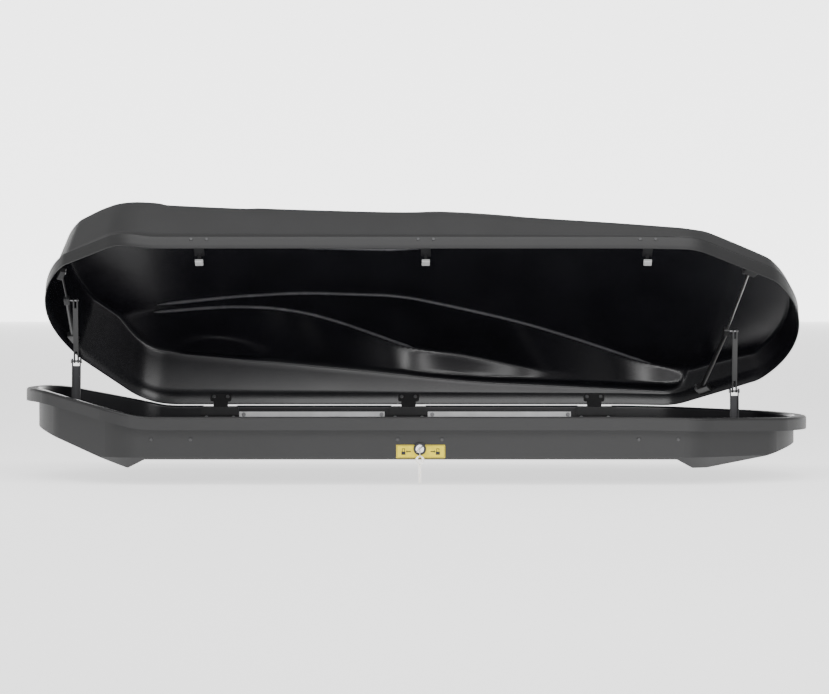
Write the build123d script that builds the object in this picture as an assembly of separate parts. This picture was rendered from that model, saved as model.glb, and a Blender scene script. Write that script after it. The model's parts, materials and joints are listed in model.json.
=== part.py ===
from build123d import *
import os
from math import atan2, cos, degrees, hypot, radians, sin

# Roof cargo box, opened from the near long side and hinged on the far long side.
# Millimetres. +X runs from the blunt tail to the low nose, +Y from the opening side to the hinge
# side, +Z up. The origin is the centre of the floor's flat underside, which rests on the roof bars.
# The lid and all it carries are drawn closed, then turned open about the hinge pins.

# ---- Plan of the rim flange, the widest part of the base -------------------------------------------
half_width = 380.0
nose_tip = 998.0
nose_corner = (915.0, 242.0)
nose_side_end = 700.0
tail_tip = -988.0
tail_corner = (-918.0, 225.0)
tail_side_end = -735.0
side_blend = 120.0
corner_blend = 80.0

# ---- Base tub -----------------------------------------------------------------------------------
rim_height = 105.0
tail_rise = 62.0
nose_droop = 12.0
tail_rise_end = -930.0
tail_rise_start = -665.0
nose_droop_start = 560.0
rim_bend = 260.0
rim_round = 6.0
flange_depth = 32.0
flange_reach = 30.0
base_wall = 3.2
floor_wall = 4.0
foot_drop = 22.0
foot_bevel = 16.0
bevel_top = 5.0
underside = [(-1080.0, 118.0), (-702.0, -foot_drop), (-659.0, 0.0), (640.0, 0.0),
             (680.0, -foot_drop), (718.0, -foot_drop), (871.0, 3.0), (1080.0, 62.0)]

# ---- Lid ----------------------------------------------------------------------------------------
lid_inset = 8.0
lid_tail_shift = 24.0
lid_gap = 2.0
lid_wall = 3.2
skirt_height = 38.0
ledge = 3.0
wall_lean = 1 / 3
roof_round = 42.0
roof_edge_y = 310.0
roof_crown = 30.0
roof_line = [(-1100.0, 170.0), (-930.0, 200.0), (-800.0, 212.0), (-530.0, 188.0), (0.0, 165.0),
             (400.0, 141.0), (680.0, 106.0), (850.0, 74.0), (960.0, 46.0), (1100.0, 4.0)]
opening_angle = 33.5

# ---- Roof bar slots ------------------------------------------------------------------------------
bar_offset = 350.0
slot_pitch_x = 110.0
slot_pitch_y = 440.0
slot_length = 60.0
slot_radius = 4.5

# ---- Hinges --------------------------------------------------------------------------------------
hinge_stations = {"rear": -520.0, "centre": -16.0, "front": 482.0}
hinge_y = half_width - 6.0
hinge_z = rim_height - 9.0
pin_radius = 3.0
running_clearance = 0.05
seat_clearance = 0.02
knuckle_radius = 6.0
knuckle_half = 19.5
block_half = 45.0
block_pad_half = 50.0
block_rivet_z = rim_height - 32.0
block_rivet_offsets = (-36.0, 36.0)
notch_gap = 0.4
leaf_thickness = 2.5
leaf_half = 28.0
leaf_screw_pitch = 37.0

# ---- Aluminium strips on the far wall ---------------------------------------------------------------
strip_height = 15.0
strip_thickness = 2.0
strip_top = rim_height - 16.0
strip_end_gap = 1.5
strip_rivet_gap = 14.0

# ---- Lid keepers and the locking bar ----------------------------------------------------------------
keeper_stations = {"rear": -534.0, "centre": 28.0, "front": 578.0}
keeper_y = -(half_width - 48.0)
keeper_drop = 18.0
keeper_foot = 20.0
keeper_foot_height = 7.0
keeper_stem = 8.0
keeper_rivet_pitch = 38.0
bar_travel = 20.0
bar_half_length = 640.0
bar_thickness = 3.0
bar_bottom = rim_height - 62.0
bar_top = rim_height - 42.0
bar_wall_gap = 6.8
fork_thickness = 3.0
fork_width = 22.0
fork_gap = 1.0
fork_reach = 29.0
guide_stations = {"rear": -594.0, "front": 595.0}
guide_rivet_offset = 48.0
rivet_line = rim_height - 56.0

# ---- Lock ---------------------------------------------------------------------------------------
lock_x = 13.0
lock_z = 26.5
lock_turn = 90.0
crank_radius = bar_travel / (2 * sin(radians(lock_turn / 2)))
crank_pin_radius = 2.8
crank_slot_gap = 0.6
barrel_radius = 9.7
plug_radius = 7.0
ring_radius = 15.5
label_size = (119.0, 32.0)
label_thickness = 1.0
label_z = 20.0
key_thickness = 2.2
key_width = 7.6
key_bow = 22.0
key_hole = 4.6
key_ring_radius = 11.0
key_wire = 0.9
spare_length = 64.0

# ---- Folding stays and the lid's cross rails ---------------------------------------------------------
stays = {
    "rear": {"x": -876.0, "foot": (100.0, 110.0), "top": (-26.0, 180.0), "pedestal": 87.0,
             "rail_far": (-899.0, 150.0), "rail_near": (-899.0, -150.0), "wall_turn": 69.6,
             "wall_gap": 8.0, "screw_side": 1},
    "front": {"x": 829.0, "foot": (100.0, 35.0), "top": (24.0, 118.0), "pedestal": 12.0,
              "rail_far": (766.0, 300.0), "rail_near": (840.0, -252.0), "wall_turn": -32.7,
              "wall_gap": 19.0, "screw_side": -1},
}
stay_lower_share = 0.43
stay_slack = 1.003
channel_width = 22.0
channel_depth = 15.0
channel_wall = 2.0
upper_width = 13.0
upper_depth = 10.0
fork_slot = 6.0
foot_screw_depth = 11.0
stay_pin_radius = 3.0
stud_reach = 8.0
stud_radius = 2.5
open_pivot_gap = 0.5
rail_offset = 21.0
bracket_half = 18.0
bracket_rise = 9.0
bracket_screw_x = 13.0
bracket_screw_rise = 5.0
rail_tube_radius = 6.0
rail_rod_radius = 2.6


# ---- Plain shapes ----------------------------------------------------------------------------------
def block(x_range, y_range, z_range):
    """Box between two values on each axis."""
    size = [high - low for low, high in (x_range, y_range, z_range)]
    middle = [(high + low) / 2 for low, high in (x_range, y_range, z_range)]
    return Pos(*middle) * Box(*size)


def rod(start, end, radius):
    """Round bar from one point to another."""
    line = Vector(*end) - Vector(*start)
    return Plane(origin=start, z_dir=line) * Cylinder(
        radius, line.length, align=(Align.CENTER, Align.CENTER, Align.MIN))


def ball_headed(start, end, shank, head, head_height):
    """Rivet or screw: a shank with a low domed head at each end, heads outside start and end."""
    line = (Vector(*end) - Vector(*start)).normalized()
    first = Vector(*start)
    last = Vector(*end)
    body = rod(first, last, shank)
    for foot, away in ((first, -line), (last, line)):
        cap = rod(foot, foot + away * head_height, head)
        rim = cap.edges().filter_by(GeomType.CIRCLE).sort_by_distance(foot + away * head_height)[0]
        body += chamfer(rim, head_height / 2)
    return body


# ---- Plan outlines and side profiles ------------------------------------------------------------------
profile_width = 2 * half_width + 120
profile_plane = Plane.XZ.offset(-profile_width / 2)


def outline(inset, z, tail_shift=0.0):
    """Plan outline of the box, moved in by inset, as a face at height z."""
    nx, ny = nose_corner
    tx, ty = tail_corner
    shift = tail_shift
    near = [(tail_side_end, -half_width), (nose_side_end, -half_width), (nx, -ny)]
    far = [(nx, ny), (nose_side_end, half_width), (tail_side_end, half_width)]
    points = near + [(nose_tip, 0.0)] + far + [(tx + shift, ty), (tail_tip + shift, 0.0),
                                               (tx + shift, -ty)]
    moved = []
    for index, point in enumerate(points):
        before = points[index - 1]
        after = points[(index + 1) % len(points)]
        a = Vector(point[0] - before[0], point[1] - before[1]).normalized()
        b = Vector(after[0] - point[0], after[1] - point[1]).normalized()
        turn_in = Vector(-a.Y - b.Y, a.X + b.X) * (inset / (1 + a.dot(b)))
        moved.append((point[0] + turn_in.X, point[1] + turn_in.Y))
    s0, s1, n0, tip, n1, s2, s3, t0, tail, t1 = moved
    with BuildSketch(Plane.XY.offset(z)) as sketch:
        with BuildLine():
            Polyline(t1, s0, s1, n0)
            ThreePointArc(n0, tip, n1)
            Polyline(n1, s2, s3, t0)
            ThreePointArc(t0, tail, t1)
        make_face()
        corners = sketch.vertices()
        sides = corners.filter_by(lambda v: abs(abs(v.Y) - abs(s0[1])) < 0.01)
        fillet(sides, side_blend)
        ends = [v for v in sketch.vertices()
                if min(hypot(v.X - p[0], v.Y - p[1]) for p in (n0, n1, t0, t1)) < 0.01]
        fillet(ends, corner_blend)
    return sketch.sketch.face()


def prism(inset, tail_shift=0.0, low=-100.0, high=500.0):
    """Upright prism of the plan outline."""
    return extrude(outline(inset, low, tail_shift), high - low, dir=(0, 0, 1))


def tapered(levels, tail_shift=0.0):
    """Solid through plan outlines at several heights, given as (inset, z)."""
    return loft([outline(inset, z, tail_shift) for inset, z in levels], ruled=True)


def region(points, bends, top, radius):
    """Everything on one side of a side profile, as wide as the box; bends are rounded."""
    with BuildSketch(profile_plane) as sketch:
        with BuildLine():
            Polyline(*points, (points[-1][0], top), (points[0][0], top), close=True)
        make_face()
        chosen = [v for v in sketch.vertices() if min(abs(v.X - bend) for bend in bends) < 0.01]
        fillet(chosen, radius)
    return extrude(sketch.sketch, profile_width)


def rim_region(offset, top):
    """All above the rim line, or below it when top is low. The rim climbs at the tail."""
    z = rim_height + offset
    points = [(-1100.0, z + tail_rise), (tail_rise_end, z + tail_rise), (tail_rise_start, z),
              (nose_droop_start, z), (1100.0, z - nose_droop)]
    return region(points, (tail_rise_end, tail_rise_start), top, rim_bend)


def above_floor(offset):
    """All above the underside, raised by offset."""
    points = [(x, z + offset) for x, z in underside]
    return region(points, [x for x, z in underside[1:-1]], 600.0, 8.0)


def below_roof(drop):
    """All below the roof, lowered by drop. The roof line holds at the roof's edges; between them
    the roof is arched across, higher in the middle by the crown."""
    reach = profile_width / 2
    sections = []
    for x, z in roof_line:
        middle = rim_height + z + roof_crown - drop
        side = middle - roof_crown * (reach / roof_edge_y) ** 2
        with BuildSketch(Plane.YZ.offset(x)) as sketch:
            with BuildLine():
                ThreePointArc((-reach, side), (0, middle), (reach, side))
                Polyline((reach, side), (reach, -50.0), (-reach, -50.0), (-reach, side))
            make_face()
        sections.append(sketch.sketch.face())
    return loft(sections)


hinge_axis = Axis((0, hinge_y, hinge_z), (1, 0, 0))
tub_outer_y = half_width - flange_reach
tub_inner_y = tub_outer_y - base_wall
lid_outer_y = half_width - lid_inset
lid_inner_y = lid_outer_y - lid_wall
nodes = {}


def keep(name, shape):
    """Store one finished sub-part."""
    nodes[name] = shape


def keep_lid(name, shape):
    """Store a sub-part of the lid, turned from closed to open."""
    nodes[name] = shape.rotate(hinge_axis, -opening_angle)


def foot_screws(stay):
    """Centres of the four screws of a stay's foot."""
    return [(stay["x"] + dx, stay["foot"][0] + dy) for dx in (-16, 16) for dy in (-18, 18)]


# ---- Base shell -------------------------------------------------------------------------------------
def tub_levels(inset):
    """Levels of the tub: a bevel at the bottom edge, then upright walls."""
    side = flange_reach + inset
    return [(side + foot_bevel * 2, bevel_top - foot_bevel * 2), (side, bevel_top), (side, 260.0)]


def slot_cutter(x, y):
    """One roof bar slot through the floor, long along X."""
    slot = Pos(x, y, -30) * SlotOverall(slot_length, slot_radius * 2)
    return extrude(slot, 60)


def rim_edges(body, inset):
    """Edges of the rim's top face that lie further in than inset, without those across it."""
    inside = outline(inset, 0.0)
    found = []
    for edge in body.edges():
        middle = edge @ 0.5
        climb = (tail_rise_start - middle.X) / (tail_rise_start - tail_rise_end)
        fall = (middle.X - nose_droop_start) / (1100.0 - nose_droop_start)
        top = rim_height + tail_rise * min(max(climb, 0), 1) - nose_droop * max(fall, 0)
        across = edge.geom_type == GeomType.LINE and abs((edge % 0.5).Y) > 0.999
        near_top = abs(middle.Z - top) < base_wall - 0.5
        if near_top and not across and inside.is_inside(Vector(middle.X, middle.Y, 0)):
            found.append(edge)
    return found


def make_base():
    tub = tapered(tub_levels(0.0)) & above_floor(0.0)
    flange = prism(0.0) & rim_region(-flange_depth, 600.0)
    pocket = prism(base_wall) & rim_region(-flange_depth - 5, 600.0)
    pocket = pocket & rim_region(-base_wall, -200.0)
    pocket = pocket - prism(flange_reach)
    cavity = tapered(tub_levels(base_wall)) & above_floor(floor_wall)
    for stay in stays.values():
        y = stay["foot"][0]
        cavity = cavity - block((stay["x"] - 26, stay["x"] + 26), (y - 30, y + 30),
                                (-60, stay["pedestal"]))
    blank = (tub + flange) & rim_region(0.0, -200.0)
    blank = fillet(rim_edges(blank, -1.0), rim_round)
    shell = blank - pocket - cavity
    shell = fillet(rim_edges(shell, flange_reach - 5), rim_round)
    for x in hinge_stations.values():
        half = block_half + notch_gap
        shell = shell - block((x - half, x + half), (tub_inner_y - 12, half_width + 20),
                              (rim_height - 24 - notch_gap, rim_height + 40))
    for x in (-bar_offset, bar_offset):
        for dx in (-slot_pitch_x / 2, slot_pitch_x / 2):
            for y in (-slot_pitch_y / 2, slot_pitch_y / 2):
                shell = shell - slot_cutter(x + dx, y)
    for x in near_rivets:
        shell = shell - rod((x, -half_width, rivet_line), (x, -tub_inner_y + 5, rivet_line), 2.6)
    for x, z in far_rivets:
        shell = shell - rod((x, tub_inner_y - 5, z), (x, tub_outer_y + 5, z), 2.6)
    for stay in stays.values():
        for x, y in foot_screws(stay):
            top = stay["pedestal"]
            shell = shell - rod((x, y, top - foot_screw_depth), (x, y, top + 5), 2.2)
    shell = shell - rod((lock_x, -half_width, lock_z), (lock_x, -tub_inner_y + 5, lock_z),
                        barrel_radius + 0.2)
    return shell


# ---- Lid shell --------------------------------------------------------------------------------------
def lid_levels(inset):
    """Two levels of the leaning side walls, which start on the ledge above the skirt."""
    return [(lid_inset + ledge + inset + (z - skirt_height) * wall_lean, rim_height + z)
            for z in (-70.0, 330.0)]


def lid_body(inset):
    """Leaning walls under the roof line, with the roof's edge rounded."""
    body = tapered(lid_levels(inset), lid_tail_shift) & below_roof(inset)
    roof = max(body.faces(), key=lambda face: face.center().Z)
    return fillet(roof.edges(), roof_round - inset)


def make_lid():
    outer = lid_body(0.0) & rim_region(skirt_height - lid_wall, 700.0)
    inner = lid_body(lid_wall) & rim_region(skirt_height - 2 * lid_wall, 700.0)
    skirt = prism(lid_inset, lid_tail_shift) & rim_region(lid_gap, 700.0)
    skirt = skirt & rim_region(skirt_height, -200.0)
    hollow = prism(lid_inset + lid_wall, lid_tail_shift)
    hollow = hollow & rim_region(skirt_height - lid_wall, -200.0)
    shell = (outer + skirt) - inner - hollow
    for x in keeper_stations.values():
        for dx in (-keeper_rivet_pitch / 2, keeper_rivet_pitch / 2):
            z = rim_height + skirt_height - 9
            shell = shell - rod((x + dx, -lid_outer_y - 5, z), (x + dx, -lid_inner_y + 5, z), 2.6)
    for x in hinge_stations.values():
        for dx in (-leaf_screw_pitch / 2, leaf_screw_pitch / 2):
            z = rim_height + 24
            shell = shell - rod((x + dx, lid_inner_y - 5, z), (x + dx, lid_outer_y + 5, z), 2.6)
    return shell


# ---- Hinges -----------------------------------------------------------------------------------------
def make_hinge(name, x):
    axis_y = hinge_y
    axis_z = hinge_z
    top = axis_z + knuckle_radius + 1
    low = rim_height - 24
    bridge = block((x - block_half, x + block_half), (tub_inner_y - 10, half_width - 0.5),
                   (low, low + 7.5))
    pad = block((x - block_pad_half, x + block_pad_half), (tub_inner_y - 12, tub_inner_y - 0.2),
                (low, rim_height - 3))
    flange = block((x - block_pad_half, x + block_pad_half), (tub_inner_y - 4, tub_inner_y - 0.2),
                   (block_rivet_z - 7, low + 1))
    body = bridge + pad + flange
    for side in (-1, 1):
        inner = x + side * (knuckle_half + 0.5)
        outer = x + side * block_half
        ear = block((min(inner, outer), max(inner, outer)), (axis_y - 8, half_width - 0.5),
                    (low, top))
        body += ear
    body -= rod((x - block_half - 1, axis_y, axis_z), (x + block_half + 1, axis_y, axis_z),
                pin_radius + seat_clearance)
    body -= rod((x - knuckle_half - 0.5, axis_y, axis_z), (x + knuckle_half + 0.5, axis_y, axis_z),
                knuckle_radius + 1)
    for dx in block_rivet_offsets:
        body -= rod((x + dx, tub_inner_y - 20, block_rivet_z), (x + dx, tub_outer_y + 5,
                                                               block_rivet_z), 2.6)
    keep(f"hinge_block_{name}", body)
    keep(f"hinge_pin_{name}", rod((x - block_half + 2, axis_y, axis_z),
                                  (x + block_half - 2, axis_y, axis_z), pin_radius))
    plate_y = (lid_inner_y - leaf_thickness, lid_inner_y)
    strap = block((x - knuckle_half, x + knuckle_half), plate_y, (axis_z, rim_height + 12))
    plate = block((x - leaf_half, x + leaf_half), plate_y, (rim_height + 10, rim_height + 33))
    plate = fillet(plate.edges().filter_by(Axis.Y), 5)
    knuckle = rod((x - knuckle_half, axis_y, axis_z), (x + knuckle_half, axis_y, axis_z),
                  knuckle_radius)
    leaf = plate + strap + knuckle
    leaf -= rod((x - knuckle_half - 1, axis_y, axis_z), (x + knuckle_half + 1, axis_y, axis_z),
                pin_radius + running_clearance)
    for dx in (-leaf_screw_pitch / 2, leaf_screw_pitch / 2):
        leaf -= rod((x + dx, plate_y[0] - 1, rim_height + 24), (x + dx, plate_y[1] + 1,
                                                               rim_height + 24), 2.6)
    keep_lid(f"hinge_leaf_{name}", leaf)


def hinge_screws():
    """Two screws through each leaf and the lid's skirt."""
    screws = []
    for x in hinge_stations.values():
        for dx in (-leaf_screw_pitch / 2, leaf_screw_pitch / 2):
            z = rim_height + 24
            screws.append(ball_headed((x + dx, lid_inner_y - leaf_thickness, z),
                                      (x + dx, lid_outer_y, z), 2.5, 5.0, 2.6))
    return screws


# ---- Strips -----------------------------------------------------------------------------------------
def strip_spans():
    """Each strip runs from one hinge block to just short of the next one."""
    rear = hinge_stations["rear"] + block_pad_half + strip_end_gap
    centre = hinge_stations["centre"]
    front = hinge_stations["front"]
    return {"rear": (rear, centre - block_pad_half - strip_rivet_gap),
            "front": (centre + block_pad_half + strip_end_gap,
                      front - block_pad_half - strip_rivet_gap)}


def strip_rivet_stations():
    """A rivet near each end of each strip."""
    return [x for low, high in strip_spans().values() for x in (low + 12, high - 8)]


def make_strip(span):
    strip = block(span, (tub_inner_y - strip_thickness, tub_inner_y),
                  (strip_top - strip_height, strip_top))
    for x in strip_rivet_stations():
        z = strip_top - strip_height / 2
        strip -= rod((x, tub_inner_y - 5, z), (x, tub_inner_y + 1, z), 2.6)
    return strip


def make_far_rivets():
    """Rivets through the far wall: two under each hinge block and two on each strip."""
    z = strip_top - strip_height / 2
    strip = [ball_headed((x, tub_inner_y - strip_thickness, z), (x, tub_outer_y, z), 2.5, 5.5, 1.8)
             for x in strip_rivet_stations()]
    return strip + [ball_headed((x + dx, tub_inner_y - 4, block_rivet_z),
                                (x + dx, tub_outer_y, block_rivet_z), 2.5, 5.5, 1.8)
                    for x in hinge_stations.values() for dx in block_rivet_offsets]


# ---- Keepers ----------------------------------------------------------------------------------------
def make_keeper(x):
    """Plate on the skirt, an arm inward, and a stem with a wide foot below the lid's edge."""
    plate_y = (-lid_inner_y, -lid_inner_y + 2.5)
    z = rim_height + skirt_height - 9
    plate = block((x - 28, x + 28), plate_y, (z - 22, z + 3))
    for dx in (-keeper_rivet_pitch / 2, keeper_rivet_pitch / 2):
        plate -= rod((x + dx, plate_y[0] - 1, z), (x + dx, plate_y[1] + 1, z), 2.6)
    half = keeper_stem / 2
    arm = block((x - 12, x + 12), (plate_y[0], keeper_y + half), (z - 22, z - 16))
    foot_z = rim_height - keeper_drop
    stem = block((x - half, x + half), (keeper_y - half, keeper_y + half), (foot_z, z - 16))
    foot_half = keeper_foot / 2
    foot = block((x - foot_half, x + foot_half), (keeper_y - foot_half, keeper_y + foot_half),
                 (foot_z, foot_z + keeper_foot_height))
    foot = chamfer(foot.edges().group_by(Axis.Z)[0], 2)
    return plate + arm + stem + foot


def make_keeper_rivets():
    z = rim_height + skirt_height - 9
    return [ball_headed((x + dx, -lid_outer_y, z), (x + dx, -lid_inner_y + 2.5, z), 2.5, 4.5, 1.8)
            for x in keeper_stations.values()
            for dx in (-keeper_rivet_pitch / 2, keeper_rivet_pitch / 2)]


# ---- Locking bar and its guides -----------------------------------------------------------------------
bar_y = (-tub_inner_y + bar_wall_gap, -tub_inner_y + bar_wall_gap + bar_thickness)
fork_z = rim_height - keeper_drop + keeper_foot_height + 1
crank_start = radians(lock_turn / 2)
crank_x = lock_x - crank_radius * sin(crank_start)


def make_bar():
    """Flat bar with a fork for each keeper and a slotted tab for the lock's crank pin."""
    bar = block((-bar_half_length, bar_half_length), bar_y, (bar_bottom, bar_top))
    bar += block((crank_x - 9, crank_x + 9), bar_y, (lock_z - 1, bar_bottom + 2))
    return bar - block((crank_x - crank_pin_radius - crank_slot_gap,
                        crank_x + crank_pin_radius + crank_slot_gap),
                       (bar_y[0] - 1, bar_y[1] + 1),
                       (lock_z + 5.5, lock_z + crank_radius + crank_pin_radius + 2.4))


def make_fork(x):
    """Forked plate that slides round a keeper's stem, above its foot."""
    tip = x - keeper_foot / 2 - fork_gap
    plate = block((tip - fork_reach, tip), (keeper_y - fork_width / 2, keeper_y + fork_width / 2),
                  (fork_z, fork_z + fork_thickness))
    slot_half = keeper_stem / 2 + 1
    plate -= block((tip - bar_travel - 2, tip + 1), (keeper_y - slot_half, keeper_y + slot_half),
                   (fork_z - 1, fork_z + fork_thickness + 1))
    upright = block((tip - fork_reach, tip - bar_travel - 2), bar_y, (bar_top, fork_z))
    return plate + upright


def make_guide(x):
    """Wall plate with a square loop that the bar slides through."""
    wall = -tub_inner_y
    plate = block((x - guide_rivet_offset - 8, x + guide_rivet_offset + 8), (wall, wall + 2.5),
                  (bar_bottom - 4, bar_top + 4))
    loop = block((x - 15, x + 15), (wall + 2.5, bar_y[1] + 3.5), (bar_bottom - 4, bar_top + 4))
    loop -= block((x - 16, x + 16), (wall + 2, bar_y[1] + 1), (bar_bottom - 1, bar_top + 1))
    guide = plate + loop
    for dx in (-guide_rivet_offset, guide_rivet_offset):
        guide -= rod((x + dx, wall - 1, rivet_line), (x + dx, wall + 4, rivet_line), 2.6)
    return guide


housing_rivets = (lock_x - 54, lock_x + 54)
near_rivets = [x + dx for x in guide_stations.values()
               for dx in (-guide_rivet_offset, guide_rivet_offset)] + list(housing_rivets)
far_rivets = [(x, strip_top - strip_height / 2) for x in strip_rivet_stations()]
far_rivets += [(x + dx, block_rivet_z) for x in hinge_stations.values()
               for dx in block_rivet_offsets]


def make_wall_rivets():
    return [ball_headed((x, -tub_outer_y, rivet_line), (x, -tub_inner_y + 2.5, rivet_line),
                        2.5, 4.5, 1.8) for x in near_rivets]


# ---- Lock -------------------------------------------------------------------------------------------
barrel_back = -tub_inner_y + 3.0
plug_front = -tub_outer_y - 4.0
cam_back = bar_y[0] - 1.2
cam_front = cam_back - 2.4


def make_lock_plate():
    """Plate inside the wall that carries the barrel."""
    wall = -tub_inner_y
    plate = block((lock_x - 63, lock_x + 63), (wall, wall + 2.5), (lock_z - 21, rivet_line + 9))
    plate = fillet(plate.edges().filter_by(Axis.Y), 8)
    plate -= rod((lock_x, wall - 1, lock_z), (lock_x, wall + 4, lock_z), barrel_radius + 0.2)
    for x in housing_rivets:
        plate -= rod((x, wall - 1, rivet_line), (x, wall + 4, rivet_line), 2.6)
    return plate


def make_lock_cover():
    """Open-topped cover over the crank, with gaps at both ends for the bar."""
    wall = -tub_inner_y + 2.5
    deep = bar_y[1] + 8
    cover = block((lock_x - 48, lock_x + 48), (wall, deep), (lock_z - 20, bar_bottom - 4))
    cover += block((lock_x - 48, lock_x + 48), (bar_y[1] + 3, deep), (bar_bottom - 4, bar_top))
    cover -= block((lock_x - 46, lock_x + 46), (wall - 1, deep - 2), (lock_z - 18, bar_top + 5))
    return cover


def make_barrel():
    """Fixed barrel with a dark ring on the outside, bored for the plug."""
    body = rod((lock_x, -tub_outer_y - 3, lock_z), (lock_x, barrel_back, lock_z), barrel_radius)
    return body - rod((lock_x, plug_front - 5, lock_z), (lock_x, barrel_back + 1, lock_z),
                      plug_radius + running_clearance)


def make_ring():
    ring = rod((lock_x, -tub_outer_y - label_thickness - 3.4, lock_z),
               (lock_x, -tub_outer_y - label_thickness, lock_z), ring_radius)
    ring = fillet(ring.edges().filter_by(GeomType.CIRCLE).sort_by(Axis.Y)[0], 1.4)
    return ring - rod((lock_x, -tub_outer_y - 12, lock_z), (lock_x, -tub_outer_y, lock_z),
                      barrel_radius + 0.1)


def make_label():
    """Blank coloured plate under the ring."""
    width, height = label_size
    middle = lock_x + 2
    plate = block((middle - width / 2, middle + width / 2),
                  (-tub_outer_y - label_thickness, -tub_outer_y),
                  (label_z - height / 2, label_z + height / 2))
    plate = fillet(plate.edges().filter_by(Axis.Y), 1.5)
    return plate - rod((lock_x, -tub_outer_y - 5, lock_z), (lock_x, -tub_outer_y + 5, lock_z),
                       barrel_radius + 0.3)


def tilted(shape):
    """Turn a lock piece to its resting angle, half of the lock's turn back."""
    return shape.rotate(Axis((lock_x, 0, lock_z), (0, 1, 0)), -lock_turn / 2)


def make_plug():
    plug = rod((lock_x, plug_front, lock_z), (lock_x, cam_front, lock_z), plug_radius)
    half_width_slot = key_width / 2 + 0.2
    half_slot = key_thickness / 2 + 0.1
    return plug - block((lock_x - half_width_slot, lock_x + half_width_slot),
                        (plug_front - 1, cam_front - 3), (lock_z - half_slot, lock_z + half_slot))


def make_crank():
    """Arm on the plug's inner end, with the pin that drives the bar."""
    hub = rod((lock_x, cam_front, lock_z), (lock_x, cam_back, lock_z), 7.0)
    tip = (lock_x, lock_z + crank_radius)
    hub += rod((tip[0], cam_front, tip[1]), (tip[0], cam_back, tip[1]), 4.6)
    hub += block((lock_x - 4.6, lock_x + 4.6), (cam_front, cam_back), (lock_z, tip[1]))
    return hub + rod((tip[0], cam_back, tip[1]), (tip[0], bar_y[1] + 1.5, tip[1]),
                     crank_pin_radius)


def key_shape(front, blade_end):
    """Flat key along Y at the lock's axis: bow in front, blade towards +Y."""
    bow_centre = front - 12.0
    bow = rod((lock_x, bow_centre, lock_z - key_thickness / 2),
              (lock_x, bow_centre, lock_z + key_thickness / 2), key_bow / 2)
    blade = block((lock_x - key_width / 2, lock_x + key_width / 2), (bow_centre, blade_end),
                  (lock_z - key_thickness / 2, lock_z + key_thickness / 2))
    for y in (2.0, 6.0, 10.0, 14.0):
        blade -= block((lock_x + key_width / 2 - 1.6, lock_x + key_width / 2 + 1),
                       (blade_end - y - 2.2, blade_end - y), (lock_z - 3, lock_z + 3))
    hole = (lock_x, bow_centre - 4.0)
    key = bow + blade
    return key - rod((hole[0], hole[1], lock_z - 3), (hole[0], hole[1], lock_z + 3), key_hole)


key_hole_y = plug_front - 3.0 - 12.0 - 4.0
ring_centre = (key_hole_y - 6.1, lock_z + 3.2 - key_ring_radius)


def make_key_ring():
    """Wire ring in an upright plane along Y, through the key's hole."""
    ring = Plane(origin=(lock_x, ring_centre[0], ring_centre[1]), z_dir=(1, 0, 0))
    return ring * Torus(key_ring_radius, key_wire)


spare_pivot = (lock_x, ring_centre[0], ring_centre[1] - key_ring_radius)


def make_spare_key():
    """Second key, hanging face on from the bottom of the ring."""
    x, y, z = spare_pivot
    drop = key_hole - key_wire - 0.3
    middle = z - 4.0 - drop
    half = key_thickness / 2
    bow = rod((x, y - half, middle), (x, y + half, middle), key_bow / 2)
    end = z - spare_length
    blade = block((x - key_width / 2, x + key_width / 2), (y - half, y + half), (end, middle))
    for step in (2.0, 6.0, 10.0, 14.0):
        blade -= block((x + key_width / 2 - 1.6, x + key_width / 2 + 1), (y - 3, y + 3),
                       (end + step, end + step + 2.2))
    key = bow + blade
    return key - rod((x, y - 3, z - drop), (x, y + 3, z - drop), key_hole)


# ---- Stays and cross rails ------------------------------------------------------------------------------
def turned(point, angle):
    """Point (y, z) turned about the hinge pins by angle in degrees."""
    a = radians(angle)
    dy = point[0] - hinge_y
    dz = point[1] - hinge_z
    return (hinge_y + dy * cos(a) - dz * sin(a), hinge_z + dy * sin(a) + dz * cos(a))


def solve_stay(stay):
    """Lengths and angles of a stay, open and closed; the knee folds towards the hinge."""
    foot = stay["foot"]
    poses = {}
    top_open = turned(stay["top"], -opening_angle)
    total = hypot(top_open[0] - foot[0], top_open[1] - foot[1]) * stay_slack
    lower = total * stay_lower_share
    upper = total - lower
    for pose, top in (("open", top_open), ("closed", stay["top"])):
        dy = top[0] - foot[0]
        dz = top[1] - foot[1]
        reach = hypot(dy, dz)
        along = (lower ** 2 - upper ** 2 + reach ** 2) / (2 * reach)
        aside = (lower ** 2 - along ** 2) ** 0.5
        knee = (foot[0] + (along * dy + aside * dz) / reach,
                foot[1] + (along * dz - aside * dy) / reach)
        poses[pose] = {"top": top, "knee": knee,
                       "lower": degrees(atan2(knee[1] - foot[1], knee[0] - foot[0])),
                       "upper": degrees(atan2(top[1] - knee[1], top[0] - knee[0]))}
    return lower, upper, poses


def in_stay_plane(shape, x, start, angle):
    """Place a shape drawn along +Y at the origin so that it starts at (y, z) and points at angle."""
    return Pos(x, start[0], start[1]) * Rot(angle, 0, 0) * shape


def make_foot(x, foot, pedestal):
    """Two ears on a plate, on the floor's pedestal."""
    y, z = foot
    bracket = block((x - 22, x + 22), (y - 24, y + 24), (pedestal, pedestal + 3))
    for side in (-1, 1):
        near = x + side * (channel_width / 2 + 0.5)
        far = near + side * 3
        span = (min(near, far), max(near, far))
        bracket += block(span, (y - 10, y + 10), (pedestal, z))
        bracket += rod((span[0], y, z), (span[1], y, z), 10)
    hole = stay_pin_radius + seat_clearance
    bracket -= rod((x - 30, y, z), (x + 30, y, z), hole)
    for screw_x, screw_y in foot_screws({"x": x, "foot": foot}):
        bracket -= rod((screw_x, screw_y, pedestal - 1), (screw_x, screw_y, pedestal + 4), 2.2)
    return bracket


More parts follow.
